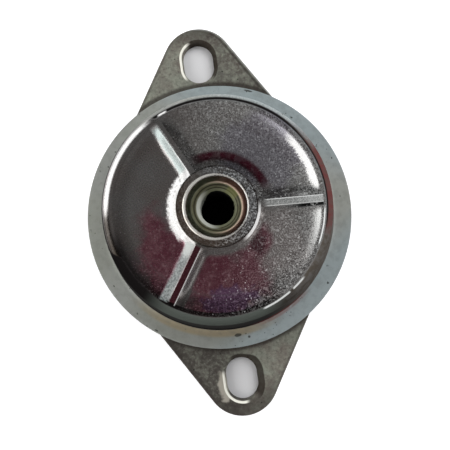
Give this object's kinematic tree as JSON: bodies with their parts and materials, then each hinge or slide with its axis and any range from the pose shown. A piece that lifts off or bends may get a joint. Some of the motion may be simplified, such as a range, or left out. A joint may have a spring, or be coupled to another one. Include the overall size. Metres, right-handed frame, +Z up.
{
  "type": "flanged anti-vibration mount",
  "caption": "Low flanged machine mount: a ribbed bell-shaped steel cap with a threaded boss, bonded through rubber to a rhombic base plate with slotted bolt holes.",
  "frame": {"origin": "centre of the base plate's underside, which is the bottom centre of the bounding box", "axes": "+Z up along the boss's thread, +Y towards the bolt slot that is at the top of the picture, +X to the right of it"},
  "size_m": [0.087, 0.1346, 0.038],
  "materials": {
    "plated_plate": "dull, mottled zinc plating",
    "rubber": "matt",
    "plated_cap": "bright zinc plating",
    "turned_boss": "turned, zinc plated",
    "washer_steel": "dull zinc plating"
  },
  "bodies": {
    "plate": {"base_plate": "plated_plate", "rubber_element": "rubber"},
    "bell": {"cap": "plated_cap", "threaded_boss": "turned_boss", "rebound_washer": "washer_steel"}
  },
  "joints": [
    {"name": "axial_give", "type": "slide", "parent": "plate", "child": "bell", "axis": [0, 0, 1], "range_m": [-0.003, 0.0015], "stiffness_N_per_m": 400000, "deforming": ["rubber_element"]}
  ]
}
